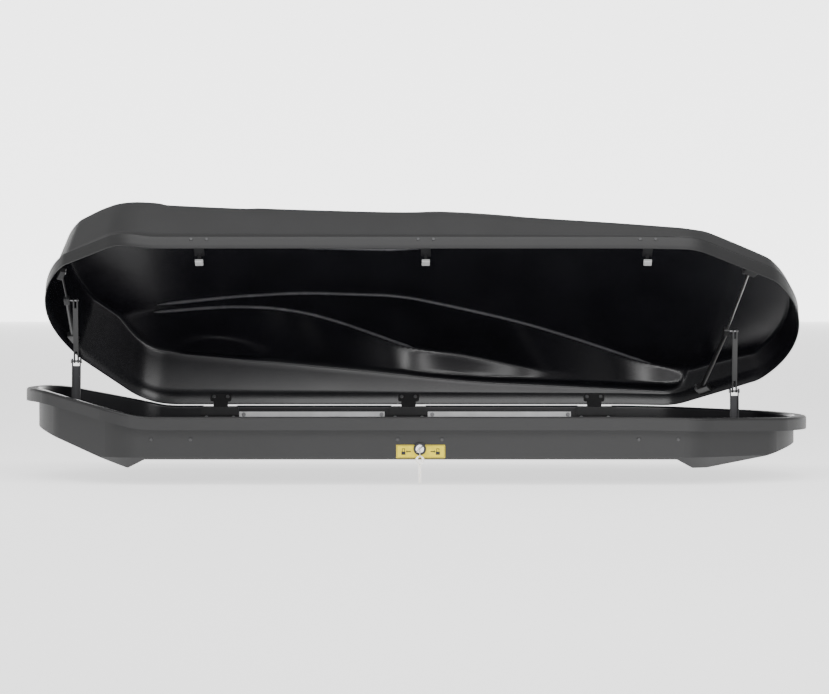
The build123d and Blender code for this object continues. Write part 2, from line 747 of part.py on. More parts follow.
def make_foot_screws():
    """Screws that hold each stay's foot to its pedestal."""
    screws = []
    for stay in stays.values():
        top = stay["pedestal"] + 3
        for x, y in foot_screws(stay):
            screw = rod((x, y, top - foot_screw_depth), (x, y, top), 2.1)
            screws.append(screw + rod((x, y, top), (x, y, top + 2.2), 4))
    return screws


def make_foot_pin(x, foot):
    reach = channel_width / 2 + 4.5
    pin = rod((x - reach, foot[0], foot[1]), (x + reach, foot[0], foot[1]), stay_pin_radius)
    return pin


def make_lower_arm(length):
    """Channel along +Y, open on its -Y side when upright; pins cross its two flanges."""
    half = channel_width / 2
    low = -channel_depth / 2
    side = rod((-half, 0, 0), (half, 0, 0), channel_depth / 2)
    side += rod((-half, length, 0), (half, length, 0), channel_depth / 2)
    body = block((-half, half), (0, length), (low, -low)) + side
    inner = half - channel_wall
    body -= block((-inner, inner), (-20, length + 20), (low + channel_wall, 20))
    body -= block((-inner, inner), (-20, 12), (-20, 20))
    body -= block((-inner, inner), (length - 12, length + 20), (-20, 20))
    body -= rod((-half - 1, 0, 0), (half + 1, 0, 0), stay_pin_radius + running_clearance)
    return body - rod((-half - 1, length, 0), (half + 1, length, 0),
                      stay_pin_radius + seat_clearance)


def make_knee_pin(length):
    reach = channel_width / 2 + 1.5
    pin = rod((-reach, length, 0), (reach, length, 0), stay_pin_radius)
    head = rod((-reach - 1.5, length, 0), (-reach + 1, length, 0), 5)
    return pin + head + rod((reach - 1, length, 0), (reach + 1.5, length, 0), 5)


def make_upper_arm(length):
    """Slim bar along +Y with a fork at each end and a pivot stud at the top."""
    half = upper_width / 2
    deep = upper_depth / 2
    body = block((-half, half), (0, length), (-deep, deep))
    body += rod((-half, 0, 0), (half, 0, 0), deep)
    body += rod((-half, length, 0), (half, length, 0), deep)
    for start, end in ((-10, 26), (length - 20, length + 10)):
        body -= block((-fork_slot / 2, fork_slot / 2), (start, end), (-10, 10))
    body -= rod((-half - 1, 0, 0), (half + 1, 0, 0), stay_pin_radius + running_clearance)
    return body - rod((-half - 1, length, 0), (half + 1, length, 0), stud_radius + seat_clearance)


def make_top_stud(length):
    """Stud through the upper arm's top fork, reaching towards the rail's pivot block."""
    half = upper_width / 2
    return rod((-half - stud_reach + open_pivot_gap, length, 0), (half + 1.5, length, 0),
               stud_radius)


def make_rail(name, stay):
    """Cross rail inside the lid: a tube and a rod that meet in the stay's pivot block."""
    y, z = stay["top"]
    x = stay["x"] - rail_offset
    face = stay["x"] - upper_width / 2 - stud_reach
    pivot = block((x - 8, face), (y - 13, y + 13), (z - 8, z + 8))
    pivot = fillet(pivot.edges().filter_by(Axis.X), 4)
    keep_lid(f"rail_pivot_{name}", pivot)
    for side, kind, radius in (("far", "tube", rail_tube_radius), ("near", "rod", rail_rod_radius)):
        end = stay[f"rail_{side}"]
        bar = rod((x, y, z), (end[0], end[1], z), radius) - pivot
        outward = 1 if end[1] > 0 else -1
        place = Pos(end[0], end[1], z) * Rot(0, 0, stay["wall_turn"] * outward)
        screw_x = bracket_screw_x * stay["screw_side"]
        bracket = rail_bracket(outward, screw_x, stay["wall_gap"], radius)
        keep_lid(f"rail_{kind}_{name}", bar)
        keep_lid(f"rail_bracket_{side}_{name}", place * bracket - bar)
        screws = bracket_screws(outward, screw_x, stay["wall_gap"], radius)
        rail_screws.extend(place * screw for screw in screws)


def rail_bracket(outward, screw_x, gap, radius):
    """Block between a rail's end and the lid's side, drawn at the origin with the side at y."""
    low, high = sorted((-outward * (radius + 3), outward * gap))
    body = block((-bracket_half, bracket_half), (low, high), (-bracket_rise, bracket_rise))
    body = fillet(body.edges().filter_by(Axis.Y), 3)
    for z in (-bracket_screw_rise, bracket_screw_rise):
        body -= rod((screw_x, -outward * 40, z), (screw_x, outward * 40, z), 2.2)
    return body


def bracket_screws(outward, screw_x, gap, radius):
    """Two screws through a rail bracket, one above the other, heads on its inner side."""
    head = -outward * (radius + 3)
    screws = []
    for z in (-bracket_screw_rise, bracket_screw_rise):
        screw = rod((screw_x, head, z), (screw_x, outward * (gap - 1), z), 2.1)
        screws.append(screw + rod((screw_x, head, z), (screw_x, head - outward * 2, z), 3.6))
    return screws


def report_stay(name, poses):
    """Print what the behaviour record needs for this stay."""
    lower = poses["closed"]["lower"] - poses["open"]["lower"]
    upper = poses["closed"]["upper"] - poses["open"]["upper"]
    knee = (upper - lower + 180) % 360 - 180
    print(name, "lower", round(lower, 4), "ratio", round(lower / opening_angle, 5), "knee",
          round(knee, 4), "ratio", round(knee / opening_angle, 5), "knee at",
          [round(v, 3) for v in poses["open"]["knee"]], "top",
          [round(v, 3) for v in poses["open"]["top"]])


# ---- All sub-parts ------------------------------------------------------------------------------------
rail_screws = []
keep("base_shell", make_base())
keep_lid("lid_shell", make_lid())
for name, x in hinge_stations.items():
    make_hinge(name, x)
keep_lid("hinge_leaf_screws", Compound(children=hinge_screws()))
for name, span in strip_spans().items():
    keep(f"wall_strip_{name}", make_strip(span))
keep("far_wall_rivets", Compound(children=make_far_rivets()))
for name, x in keeper_stations.items():
    keep_lid(f"lid_keeper_{name}", make_keeper(x))
    keep(f"bar_fork_{name}", make_fork(x))
keep_lid("lid_keeper_rivets", Compound(children=make_keeper_rivets()))
keep("locking_bar", make_bar())
for name, x in guide_stations.items():
    keep(f"bar_guide_{name}", make_guide(x))
keep("near_wall_rivets", Compound(children=make_wall_rivets()))
keep("lock_plate", make_lock_plate())
keep("lock_cover", make_lock_cover())
keep("lock_barrel", make_barrel())
keep("lock_ring", make_ring())
keep("lock_label", make_label())
keep("lock_plug", tilted(make_plug()))
keep("lock_crank", tilted(make_crank()))
keep("lock_key", tilted(key_shape(plug_front - 3.0, cam_front - 4.0)))
keep("key_ring", make_key_ring())
keep("spare_key", make_spare_key())
for name, stay in stays.items():
    lower, upper, poses = solve_stay(stay)
    report_stay(name, poses)
    x = stay["x"]
    foot = stay["foot"]
    knee = poses["open"]["knee"]
    low_turn = poses["open"]["lower"]
    up_turn = poses["open"]["upper"]
    keep(f"stay_foot_{name}", make_foot(x, foot, stay["pedestal"]))
    keep(f"stay_foot_pin_{name}", make_foot_pin(x, foot))
    keep(f"stay_lower_arm_{name}", in_stay_plane(make_lower_arm(lower), x, foot, low_turn))
    keep(f"stay_knee_pin_{name}", in_stay_plane(make_knee_pin(lower), x, foot, low_turn))
    keep(f"stay_upper_arm_{name}", in_stay_plane(make_upper_arm(upper), x, knee, up_turn))
    keep(f"stay_top_stud_{name}", in_stay_plane(make_top_stud(upper), x, knee, up_turn))
    make_rail(name, stay)
keep("stay_foot_screws", Compound(children=make_foot_screws()))
keep_lid("rail_screws", Compound(children=rail_screws))

os.makedirs("parts", exist_ok=True)
for name, shape in nodes.items():
    export_step(shape, f"parts/{name}.step")
print(len(nodes), "sub-parts")
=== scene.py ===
import json
import bmesh
import bpy
import numpy as np
from math import atan2, cos, pi, radians, sin, tan
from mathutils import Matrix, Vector


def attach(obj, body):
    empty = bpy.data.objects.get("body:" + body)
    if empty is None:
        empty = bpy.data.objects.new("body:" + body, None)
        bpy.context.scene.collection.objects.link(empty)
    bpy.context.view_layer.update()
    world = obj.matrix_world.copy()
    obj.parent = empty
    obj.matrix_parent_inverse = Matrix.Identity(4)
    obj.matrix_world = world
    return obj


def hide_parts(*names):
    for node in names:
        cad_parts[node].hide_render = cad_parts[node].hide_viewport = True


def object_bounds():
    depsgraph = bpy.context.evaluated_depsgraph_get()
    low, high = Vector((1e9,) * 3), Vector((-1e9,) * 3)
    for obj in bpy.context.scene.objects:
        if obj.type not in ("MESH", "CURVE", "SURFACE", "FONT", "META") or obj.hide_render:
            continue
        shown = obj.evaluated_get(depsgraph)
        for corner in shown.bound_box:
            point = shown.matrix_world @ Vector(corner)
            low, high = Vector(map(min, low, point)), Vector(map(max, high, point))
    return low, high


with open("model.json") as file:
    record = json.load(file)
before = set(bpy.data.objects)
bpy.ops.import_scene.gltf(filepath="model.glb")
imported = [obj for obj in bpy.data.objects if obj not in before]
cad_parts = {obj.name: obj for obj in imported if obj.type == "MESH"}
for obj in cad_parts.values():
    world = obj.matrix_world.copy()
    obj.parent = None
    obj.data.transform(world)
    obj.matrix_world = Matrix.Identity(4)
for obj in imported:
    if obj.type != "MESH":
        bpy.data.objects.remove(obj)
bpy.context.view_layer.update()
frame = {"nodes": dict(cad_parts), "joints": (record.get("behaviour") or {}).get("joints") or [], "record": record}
mm = 0.001
print("frame loaded:", len(frame["nodes"]), "nodes")


# shader maths: a Wire holds one socket, and arithmetic on it adds Math nodes
class Wire:
    def __init__(self, tree, socket):
        self.tree = tree
        self.socket = socket

    def combine(self, operation, first, second):
        node = self.tree.nodes.new("ShaderNodeMath")
        node.operation = operation
        plug(self.tree, node.inputs[0], first)
        plug(self.tree, node.inputs[1], second)
        return Wire(self.tree, node.outputs[0])

    def __add__(self, other):
        return self.combine("ADD", self, other)

    def __radd__(self, other):
        return self.combine("ADD", other, self)

    def __sub__(self, other):
        return self.combine("SUBTRACT", self, other)

    def __rsub__(self, other):
        return self.combine("SUBTRACT", other, self)

    def __mul__(self, other):
        return self.combine("MULTIPLY", self, other)

    def __rmul__(self, other):
        return self.combine("MULTIPLY", other, self)

    def __gt__(self, other):
        return self.combine("GREATER_THAN", self, other)

    def __lt__(self, other):
        return self.combine("LESS_THAN", self, other)


def plug(tree, socket, value):
    if isinstance(value, Wire):
        tree.links.new(value.socket, socket)
    else:
        socket.default_value = value


class Finish:
    # one material with its own node tree; node() makes any node, shade() sets the surface
    def __init__(self, name):
        self.material = bpy.data.materials.new(name)
        self.material.use_nodes = True
        self.tree = self.material.node_tree
        self.surface = self.tree.nodes["Principled BSDF"]
        self.place = self.node("ShaderNodeTexCoord", pick="Object")

    def node(self, kind, settings=None, pick=0, **inputs):
        node = self.tree.nodes.new(kind)
        for name, value in (settings or {}).items():
            setattr(node, name, value)
        for name, value in inputs.items():
            plug(self.tree, node.inputs[int(name[1:]) if name[1:].isdigit() else name], value)
        return Wire(self.tree, node.outputs[pick])

    def ramp(self, factor, stops):
        node = self.tree.nodes.new("ShaderNodeValToRGB")
        for stop, (position, colour) in zip(node.color_ramp.elements, stops):
            stop.position = position
            stop.color = (*colour, 1)
        plug(self.tree, node.inputs["Fac"], factor)
        return Wire(self.tree, node.outputs["Color"])

    def noise(self, scale, detail=3.0, stretch=None):
        place = self.place
        if stretch:
            place = self.node("ShaderNodeMapping", Vector=place, Scale=stretch)
        return self.node("ShaderNodeTexNoise", Vector=place, Scale=scale, Detail=detail)

    def bump(self, height, strength, distance, below=None):
        inputs = {"Height": height, "Strength": strength, "Distance": distance}
        if below:
            inputs["Normal"] = below
        return self.node("ShaderNodeBump", **inputs)

    def shade(self, **inputs):
        for name, value in inputs.items():
            plug(self.tree, self.surface.inputs[name.replace("_", " ")], value)
        return self.material


# plan of the box in millimetres, the same as the frame's own; six arcs joined by straight lines
plan = {
    "halfWidth": 380.0,
    "noseTip": 998.0, "noseCorner": (915.0, 242.0), "noseSideEnd": 700.0,
    "tailTip": -988.0, "tailCorner": (-918.0, 225.0), "tailSideEnd": -735.0,
    "sideBlend": 120.0, "cornerBlend": 80.0,
    "arcPoints": (30, 8, 9, 9, 8, 30), "linePoints": (1, 12, 92, 12, 1),
}
rim = {
    "height": 105.0, "tailRise": 62.0, "noseDroop": 12.0, "bend": 30.0,
    "riseFrom": -665.0, "riseTo": -930.0, "droopFrom": 560.0, "farEnd": 1100.0,
}
lid = {
    "inset": 8.0, "tailShift": 24.0, "gap": 2.0, "wall": 3.2, "skirt": 38.0, "ledge": 3.0,
    "lean": 1 / 3, "tailUpright": 34.0, "uprightSpan": (-640.0, 240.0),
    "topGuess": 220.0, "topRounds": 30, "roundShare": 0.8,
    "low": -70.0, "high": 330.0, "roofRound": 16.0, "edgeRound": 2.4,
    "shoulderAt": 310.0, "crown": 30.0,
    "roof": [(-1100.0, 186.0), (-930.0, 203.0), (-800.0, 200.0), (-530.0, 178.0), (0.0, 155.0),
             (400.0, 130.0), (680.0, 96.0), (850.0, 70.0), (960.0, 48.0), (1100.0, 12.0)],
    "spine": (-560.0, 620.0),
    "hingeY": 374.0, "hingeZ": 96.0, "keeperFootTop": 94.4,
}
openAngle = -radians(frame["joints"][0]["range_deg"][1])


plasticLook = {
    "outside": ((0.0105, 0.0105, 0.0110), (0.0150, 0.0150, 0.0157)),
    # the inside colours, darker and bluer than the outside ones, are painted shade of the box's interior; the
    # sheet is one plastic
    "inside": ((0.0070, 0.0070, 0.0090), (0.0110, 0.0110, 0.0140)),
    # the beads' grey is a painted highlight: lighter than the sheet so that they read as bright lines
    "bead": ((0.060, 0.060, 0.066), (0.085, 0.085, 0.092)),
    "grainSize": 1500.0,       # cells per metre of the pressed leather-like grain
    "grainDepth": 0.00012,
    "waveSize": 7.0,           # slow unevenness of a formed sheet
    "waveDepth": 0.0012,
}


def grainedPlastic(name, colours, rough, grain):
    # satin sheet: a fine grain over slow waves, with the gloss varying a little from place to place
    finish = Finish(name)
    cloud = finish.noise(9.0)
    fine = finish.noise(plasticLook["grainSize"] * 0.5, 2.0)
    cells = finish.node("ShaderNodeTexVoronoi", Vector=finish.place, Scale=plasticLook["grainSize"])
    wave = finish.noise(plasticLook["waveSize"], 1.0)
    broad = finish.bump(wave, 0.35, plasticLook["waveDepth"])
    normal = finish.bump(cells * 0.7 + fine * 0.3, grain, plasticLook["grainDepth"], broad)
    return finish.shade(Base_Color=finish.ramp(cloud, ((0.3, colours[0]), (0.75, colours[1]))),
                        Roughness=rough + cloud * 0.1 + fine * 0.05, Normal=normal,
                        IOR=1.5)


def sidedPlastic(name):
    # the tub's sheet: grained outside and smooth inside, told apart by which way a wall faces; the inside also
    # takes a darker, bluer colour, which is painted shade
    finish = Finish(name)
    cloud = finish.noise(9.0)
    fine = finish.noise(plasticLook["grainSize"] * 0.5, 2.0)
    cells = finish.node("ShaderNodeTexVoronoi", Vector=finish.place, Scale=plasticLook["grainSize"])
    facing = finish.node("ShaderNodeTexCoord", pick="Normal")
    spread = finish.node("ShaderNodeMapping", Vector=finish.place, Scale=(0.32, 1.0, 0.0))
    outward = finish.node("ShaderNodeVectorMath", {"operation": "DOT_PRODUCT"}, pick="Value",
                          _0=facing, _1=spread)
    height = finish.node("ShaderNodeSeparateXYZ", Vector=finish.place, pick="Z")
    upward = finish.node("ShaderNodeSeparateXYZ", Vector=facing, pick="Z")
    inside = (outward < -0.02) + (upward > 0.5) * (height < 0.088)
    inside = inside.combine("MINIMUM", inside, 1.0)
    # painted shade: faces turned inwards take the darker, bluer inside colours
    outer = finish.ramp(cloud, tuple(zip((0.3, 0.75), plasticLook["outside"])))
    inner = finish.ramp(cloud, tuple(zip((0.3, 0.75), plasticLook["inside"])))
    colour = finish.node("ShaderNodeMix", {"data_type": "RGBA"}, pick=2, _0=inside, _6=outer, _7=inner)
    broad = finish.bump(finish.noise(plasticLook["waveSize"], 1.0), 0.35, plasticLook["waveDepth"])
    grain = (cells * 0.7 + fine * 0.3) * (1 - inside * 0.85)
    return finish.shade(Base_Color=colour, Roughness=0.44 + cloud * 0.1 - inside * 0.2,
                        Normal=finish.bump(grain, 0.5, plasticLook["grainDepth"], broad), IOR=1.5)


def mouldedPlastic(name, colour, rough):
    # injection-moulded part: faint orange peel and a little unevenness in the gloss
    finish = Finish(name)
    peel = finish.noise(420.0, 2.0)
    cloud = finish.noise(60.0, 2.0)
    darker = tuple(value * 0.8 for value in colour)
    return finish.shade(Base_Color=finish.ramp(cloud, ((0.3, darker), (0.7, colour))),
                        Roughness=rough + cloud * 0.12,
                        Normal=finish.bump(peel, 0.25, 0.0002), IOR=1.48)


def drawnMetal(name, colour, rough, stretch, streak=0.16, metallic=1.0):
    # rolled or drawn metal: long fine streaks along the piece and a cloudy tarnish
    finish = Finish(name)
    lines = finish.noise(260.0, 4.0, stretch)
    cloud = finish.noise(24.0, 3.0)
    darker = tuple(value * 0.78 for value in colour)
    return finish.shade(Base_Color=finish.ramp(cloud * 0.5 + lines * 0.5, ((0.35, darker), (0.65, colour))),
                        Metallic=metallic, Roughness=rough + lines * streak + cloud * 0.08,
                        Normal=finish.bump(lines, 0.18, 0.0002))


def platedMetal(name, colour, rough):
    # small plated casting: nearly even, with faint handling marks
    finish = Finish(name)
    marks = finish.noise(900.0, 5.0)
    cloud = finish.noise(150.0, 2.0)
    darker = tuple(value * 0.85 for value in colour)
    return finish.shade(Base_Color=finish.ramp(cloud, ((0.3, darker), (0.7, colour))),
                        Metallic=1.0, Roughness=rough + marks * 0.14,
                        Normal=finish.bump(marks, 0.12, 0.0001))


def keeperPlastic(name, colour, footColour, rough):
    # black moulding whose foot is grey; the foot is what lies lowest along the lid's own upright
    finish = Finish(name)
    upright = (0.0, sin(-openAngle), cos(openAngle))
    along = finish.node("ShaderNodeVectorMath", {"operation": "DOT_PRODUCT"}, pick="Value",
                        _0=finish.place, _1=upright)
    hinge = lid["hingeY"] * upright[1] + lid["hingeZ"] * upright[2]
    footTop = (hinge + lid["keeperFootTop"] - lid["hingeZ"]) * mm
    peel = finish.noise(420.0, 2.0)
    tone = (along < footTop) * 0.85 + peel * 0.15
    return finish.shade(Base_Color=finish.ramp(tone, ((0.1, colour), (0.9, footColour))),
                        Roughness=rough + peel * 0.1, Normal=finish.bump(peel, 0.25, 0.0002))


def coatedSteel(name, colour, rough):
    # powder coat: a fine orange peel over steel
    finish = Finish(name)
    peel = finish.noise(650.0, 2.0)
    return finish.shade(Base_Color=finish.ramp(peel, ((0.3, tuple(v * 0.8 for v in colour)), (0.7, colour))),
                        Roughness=rough + peel * 0.1, Normal=finish.bump(peel, 0.3, 0.00015),
                        Coat_Weight=0.15)


looks = {
    "tub": sidedPlastic("tubPlastic"),
    "lidOutside": grainedPlastic("lidOutsidePlastic", plasticLook["outside"], 0.40, 0.5),
    # painted highlight: the lid's beads get a lighter grey so that they show as bright lines
    "lidBeadHighlight": grainedPlastic("lidBeadPaintedHighlight", plasticLook["bead"], 0.2, 0.05),
    # the lid's inner face: really smoother and glossier, and darker in colour as painted shade
    "lidInside": grainedPlastic("lidInsideShadedPlastic", plasticLook["inside"], 0.16, 0.06),
    "fitting_plastic": mouldedPlastic("fittingPlastic", (0.018, 0.018, 0.02), 0.34),
    "keeper_plastic": keeperPlastic("keeperPlastic", (0.014, 0.014, 0.015), (0.40, 0.40, 0.40), 0.4),
    "strip_aluminium": drawnMetal("stripAluminium", (0.86, 0.86, 0.87), 0.3, (0.02, 1.0, 1.0)),
    "zinc_steel": drawnMetal("zincSteel", (0.52, 0.52, 0.5), 0.34, (0.1, 1.0, 1.0)),
    "arm_steel": drawnMetal("armSteel", (0.10, 0.10, 0.105), 0.45, (1.0, 1.0, 0.05)),
    "black_steel": coatedSteel("blackSteel", (0.022, 0.022, 0.023), 0.38),
    "bright_rod": drawnMetal("brightRod", (0.7, 0.7, 0.69), 0.22, (0.2, 0.2, 0.2)),
    "label_plastic": mouldedPlastic("labelYellow", (1.0, 0.79, 0.0), 0.45),
    "lock_metal": platedMetal("lockMetal", (0.66, 0.66, 0.67), 0.16),
    "key_nickel": platedMetal("keyNickel", (0.72, 0.70, 0.66), 0.2),
    "fastener_steel": platedMetal("fastenerSteel", (0.36, 0.36, 0.37), 0.3),
    "print": mouldedPlastic("labelPrint", (0.012, 0.012, 0.012), 0.45),
}
print("finishes made:", len(looks))

slotOf = {part["node"]: part["material_slot"] for part in frame["record"]["subparts"]}
darkFasteners = ("near_wall_rivets", "lid_keeper_rivets")
darkSteel = coatedSteel("darkFasteners", (0.03, 0.03, 0.032), 0.3)
for name, node in frame["nodes"].items():
    look = looks["tub"] if name == "base_shell" else looks.get(slotOf[name], looks["tub"])
    if name in darkFasteners:
        look = darkSteel
    if name.startswith("stay_upper_arm") or name.startswith("hinge_leaf_") and name != "hinge_leaf_screws":
        look = looks["black_steel"]
    node.data.materials.clear()
    node.data.materials.append(look)


def movedCorners(inset, tailShift):
    # corners of the plan from nose to tail on the far side; each side moves in by inset
    nx, ny = plan["noseCorner"]
    tx, ty = plan["tailCorner"]
    far = [(plan["noseTip"], 0.0), (nx, ny), (plan["noseSideEnd"], plan["halfWidth"]),
           (plan["tailSideEnd"], plan["halfWidth"]), (tx + tailShift, ty),
           (plan["tailTip"] + tailShift, 0.0)]
    near = [(x, -y) for x, y in far[-2:0:-1]]
    corners = np.array(far + near)
    ahead = np.roll(corners, -1, axis=0) - corners
    ahead /= np.linalg.norm(ahead, axis=1)[:, None]
    behind = np.roll(ahead, 1, axis=0)
    bisector = np.stack([-behind[:, 1] - ahead[:, 1], behind[:, 0] + ahead[:, 0]], axis=1)
    bisector /= (1 + (behind * ahead).sum(axis=1))[:, None]
    return (corners + inset * bisector)[:6]


def endArcs(tip, corner, following):
    # arc through the tip and both corners, and the blend between it and the next straight side
    side = 1.0 if tip[0] > 0 else -1.0
    reach = side * (tip[0] - corner[0])
    radius = (reach ** 2 + corner[1] ** 2) / (2 * reach)
    centre = np.array([tip[0] - side * radius, 0.0])
    along = (following - corner) / np.linalg.norm(following - corner)
    inward = np.array([-along[1], along[0]]) * side
    start = corner + inward * plan["cornerBlend"] - centre
    ahead = start @ along
    spread = (ahead ** 2 - start @ start + (radius - plan["cornerBlend"]) ** 2) ** 0.5
    step = -ahead - spread if -ahead - spread > 0 else -ahead + spread
    blend = centre + start + along * step
    touch = atan2(blend[1] - centre[1], blend[0] - centre[0])
    normal = atan2(-inward[1], -inward[0])
    return centre, radius, blend, touch, normal


def ring(inset, tailShift=0.0):
    # closed outline seen from above, from the nose tip by the far side to the tail and back
    tip, n1, s2, s3, t0, tail = movedCorners(inset, tailShift)
    noseCentre, noseRadius, noseBlend, noseTouch, noseNormal = endArcs(tip, n1, s2)
    tailCentre, tailRadius, tailBlend, tailTouch, tailNormal = endArcs(tail, t0, s3)
    blends = []
    for corner, normal in ((s2, noseNormal), (s3, tailNormal)):
        half = abs(pi / 2 - normal) / 2
        middle = (normal + pi / 2) / 2
        blends.append(corner - plan["sideBlend"] / cos(half) * np.array([cos(middle), sin(middle)]))
    arcs = [(noseCentre, noseRadius, 0.0, noseTouch),
            (noseBlend, plan["cornerBlend"], noseTouch, noseNormal),
            (blends[0], plan["sideBlend"], noseNormal, pi / 2),
            (blends[1], plan["sideBlend"], pi / 2, tailNormal),
            (tailBlend, plan["cornerBlend"], tailNormal, tailTouch), (tailCentre, tailRadius, tailTouch, pi)]
    pieces = []
    for index, (centre, radius, start, end) in enumerate(arcs):
        turn = np.linspace(start, end, plan["arcPoints"][index])
        arc = centre + radius * np.stack([np.cos(turn), np.sin(turn)], axis=1)
        if pieces:
            gap = plan["linePoints"][index - 1]
            step = np.linspace(0, 1, gap + 1)[1:, None]
            pieces.append(pieces[-1][-1] + (arc[0] - pieces[-1][-1]) * step)
            arc = arc[1:]
        pieces.append(arc)
    far = np.concatenate(pieces)
    near = far[-2:0:-1] * (1, -1)
    return np.concatenate([far, near])


def rimLine(x):
    # height of the rim along the box: level, climbing at the tail and drooping at the nose
    knots = (rim["riseTo"], rim["riseFrom"], rim["droopFrom"], rim["farEnd"])
    level = rim["height"]
    heights = (level + rim["tailRise"], level, level, level - rim["noseDroop"])
    shifts = np.linspace(-rim["bend"], rim["bend"], 9)
    return np.mean([np.interp(x + shift, knots, heights) for shift in shifts], axis=0)


def smoothLine(points):
    # natural cubic through the points: slopes from the usual three-term equations
    knots, values = np.array(points).T
    step = np.diff(knots)
    count = len(knots)
    matrix = np.eye(count)
    right = np.zeros(count)
    for i in range(1, count - 1):
        matrix[i, i - 1:i + 2] = step[i - 1], 2 * (step[i - 1] + step[i]), step[i]
        right[i] = 6 * ((values[i + 1] - values[i]) / step[i] - (values[i] - values[i - 1]) / step[i - 1])
    bend = np.linalg.solve(matrix, right)

    def height(x):
        i = np.clip(np.searchsorted(knots, x) - 1, 0, count - 2)
        a = (knots[i + 1] - x) / step[i]
        b = 1 - a
        return (a * values[i] + b * values[i + 1]
                + ((a ** 3 - a) * bend[i] + (b ** 3 - b) * bend[i + 1]) * step[i] ** 2 / 6)
    return height


roofLine = smoothLine(lid["roof"])


def roofHeight(x, y, drop):
    # the roof line with a parabola across, highest in the middle
    return rim["height"] + roofLine(x) + lid["crown"] * (1 - (y / lid["shoulderAt"]) ** 2) - drop


def easeStep(value, width):
    # 0 to 1 over width, smooth at both ends
    t = np.clip(value / width + 0.5, 0, 1)
    return t * t * (3 - 2 * t)


# the pressed blades: a long one from line to wall, and a short one further back, on both sides;
# the far side's are pressed deeper
relief = {
    "blade": [(-900.0, 300.0), (-709.0, 197.0), (-475.0, 134.0), (-300.0, 106.0), (-39.0, 107.0),
              (279.0, 197.0), (631.0, 317.0), (800.0, 330.0)],
    "ribbon": [(-900.0, 262.0), (-711.0, 226.0), (-533.0, 184.0), (-439.0, 172.0), (-333.0, 177.0),
               (-227.0, 209.0), (13.0, 321.0), (200.0, 326.0)],
    "crease": [(-960.0, 185.0), (-829.0, 160.0), (-711.0, 140.0), (-430.0, 118.0), (-200.0, 99.0),
               (0.0, 78.0), (174.0, 62.0), (496.0, 50.0), (700.0, 44.0), (960.0, 40.0)],
    "wallAt": 342.0, "leastRun": 16.0, "farDepth": 0.85, "nearDepth": 0.22,
    "shareLow": 0.12, "shareFrom": 60.0, "shareTo": 460.0,
    "lensCentre": (-520.0, 322.0), "lensHalf": (128.0, 52.0), "lensDrop": 6.0,
    "lensSlope": (0.1, 0.2), "lensClear": 14, "lensEase": 12,
    "tailFade": (-850.0, 120.0), "noseFade": (760.0, 160.0), "easeReach": 60,
    "beadRadius": 4.5, "beadSink": 0.4, "beadPoints": 150,
    "bladeBead": (-690.0, 640.0), "ribbonBead": (-700.0, 0.0),
}


def lineHeight(points, x):
    # a drawn line: straight between its points, eased by averaging over a short stretch
    knots, values = np.array(points).T
    shifts = np.linspace(-relief["easeReach"], relief["easeReach"], 13)
    return np.mean([np.interp(x + shift, knots, values) for shift in shifts], axis=0)


def facetDrop(x, y):
    # the roof falls to the wall's crease over two facets, each a straight ramp from its line to the
    # wall; the far share grows towards the nose, and both fade out at the box's ends
    side = np.abs(y)
    total = rim["height"] + roofLine(x) + lid["crown"] * (1 - (relief["wallAt"] / lid["shoulderAt"]) ** 2)
    total = np.maximum(total - rim["height"] - lineHeight(relief["crease"], x), 0)
    share = (x - relief["shareFrom"]) / (relief["shareTo"] - relief["shareFrom"])
    share = relief["shareLow"] + (1 - relief["shareLow"]) * easeStep(share - 0.5, 1.0)
    ramps = []
    for name in ("blade", "ribbon"):
        line = lineHeight(relief[name], x)
        ramps.append(np.clip((side - line) / np.maximum(relief["wallAt"] - line, relief["leastRun"]), 0, 1))
    cx, cy = relief["lensCentre"]
    hx, hy = relief["lensHalf"]
    lens = 1 - np.hypot((x - cx) / hx, (side - cy) / hy)
    lensFrom, lensOver = relief["lensSlope"]
    inWall = easeStep(relief["wallAt"] - relief["lensClear"] - side, relief["lensEase"])
    tailFrom, tailOver = relief["tailFade"]
    noseFrom, noseOver = relief["noseFade"]
    ends = easeStep(x - tailFrom, tailOver) * easeStep(noseFrom - x, noseOver)
    total = total * np.where(y > 0, relief["farDepth"], relief["nearDepth"])
    return (total * (share * ramps[0] + (1 - share) * ramps[1])
            + relief["lensDrop"] * easeStep(lens - lensFrom, lensOver) * inWall) * ends


def roofShape(x, y, drop):
    return roofHeight(x, y, drop) - facetDrop(x, y)


def turnOpen(points):
    # turn about the hinge pins from closed to the resting, open place
    y = points[..., 1] - lid["hingeY"]
    z = points[..., 2] - lid["hingeZ"]
    turned = points.copy()
    turned[..., 1] = lid["hingeY"] + y * cos(openAngle) - z * sin(openAngle)
    turned[..., 2] = lid["hingeZ"] + y * sin(openAngle) + z * cos(openAngle)
    return turned


def lidWall(extra):
    # leaning wall as a function of height: a straight line between two outlines, steeper at the tail
    inset = lid["inset"] + lid["ledge"] + extra
    low = ring(inset + (lid["low"] - lid["skirt"]) * lid["lean"], lid["tailShift"])
    high = ring(inset + (lid["high"] - lid["skirt"]) * lid["lean"], lid["tailShift"])
    uprightFrom, uprightOver = lid["uprightSpan"]
    high[:, 0] -= lid["tailUpright"] * easeStep(uprightFrom - high[:, 0], uprightOver)

    def at(z):
        t = (z - rim["height"] - lid["low"]) / (lid["high"] - lid["low"])
        return low + (high - low) * t[:, None]
    return at


